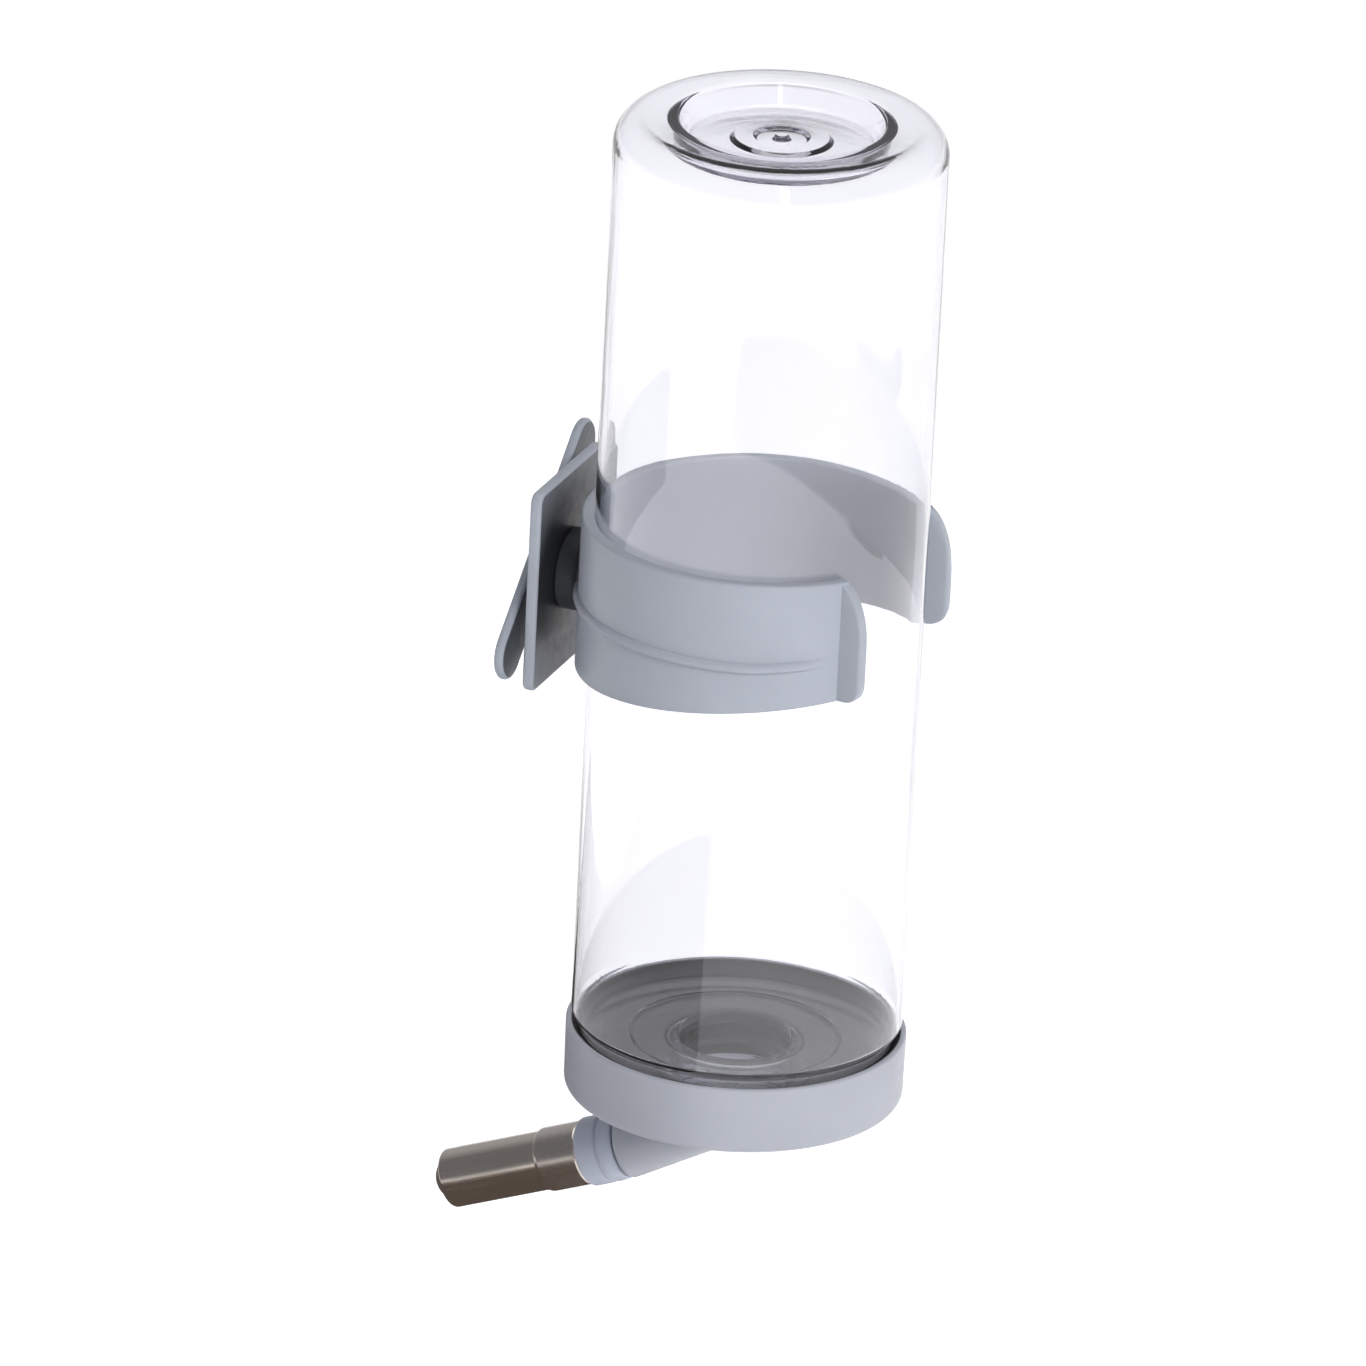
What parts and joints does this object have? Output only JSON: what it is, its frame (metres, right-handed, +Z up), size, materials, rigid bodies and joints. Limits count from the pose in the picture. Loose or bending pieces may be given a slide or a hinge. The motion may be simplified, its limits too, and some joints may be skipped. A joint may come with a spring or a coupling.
{
  "type": "small animal water bottle",
  "caption": "Clear hanging water bottle for a rabbit cage, with a snap-ring clip that a twist lock holds to the wires, a screw cap and a slanted steel ball spout.",
  "frame": {"origin": "on the twist lock's axis, at the holder plate's face that bears on the cage wires", "axes": "+Z up along the bottle; +X away from the cage, out through the open side of the ring; +Y to the left of someone outside who faces the cage, so the frame is right-handed"},
  "size_m": [0.0961, 0.0728, 0.2432],
  "materials": {
    "clip_ring": "satin",
    "holder_plate": "satin",
    "lock_bar": "satin",
    "lock_retainer": "bright",
    "bottle": "clear gloss",
    "neck_gasket": "matte",
    "cap": "satin",
    "spout_holder": "satin",
    "spout_o_ring": "matte",
    "spout_ferrule": "polished",
    "spout_tube": "polished",
    "valve_ball": "polished",
    "valve_ball_rear": "polished"
  },
  "bodies": {
    "clip": {"clip_ring": "clip_ring", "holder_plate": "holder_plate"},
    "lock": {"lock_bar": "lock_bar", "lock_retainer": "lock_retainer"},
    "bottle": {"bottle": "bottle"},
    "gasket": {"neck_gasket": "neck_gasket"},
    "cap": {"cap": "cap"},
    "spout": {"spout_holder": "spout_holder", "spout_o_ring": "spout_o_ring", "spout_ferrule": "spout_ferrule", "spout_tube": "spout_tube"},
    "ball": {"valve_ball": "valve_ball"},
    "ball_rear": {"valve_ball_rear": "valve_ball_rear"}
  },
  "joints": [
    {"name": "lock_turn", "type": "hinge", "parent": "clip", "child": "lock", "pos_m": [0, 0, 0], "axis": [1, 0, 0], "range_deg": [-42, 48]},
    {"name": "bottle_slide", "type": "slide", "parent": "clip", "child": "bottle", "axis": [0, 0, 1], "range_m": [-0.07, 0.07]},
    {"name": "cap_lift", "type": "slide", "parent": "bottle", "child": "gasket", "axis": [0, 0, 1], "range_m": [-0.0041, 0]},
    {"name": "cap_turn", "type": "hinge", "parent": "gasket", "child": "cap", "pos_m": [0.0425, 0, -0.104], "axis": [0, 0, 1], "range_deg": [-450, 0]},
    {"name": "spout_turn", "type": "hinge", "parent": "cap", "child": "spout", "pos_m": [0.0425, 0, -0.1122], "axis": [-0.9272, 0, -0.3746], "range_deg": [-60, 0]},
    {"name": "ball_push", "type": "slide", "parent": "spout", "child": "ball", "axis": [0.9272, 0, 0.3746], "range_m": [0, 0.0035]},
    {"name": "ball_rear_push", "type": "slide", "parent": "spout", "child": "ball_rear", "axis": [0.9272, 0, 0.3746], "range_m": [0, 0.0035]}
  ],
  "couplings": [
    {"joint": "cap_lift", "follows": "cap_turn", "m_per_rad": 0.0005093},
    {"joint": "ball_rear_push", "follows": "ball_push", "ratio": 1}
  ]
}
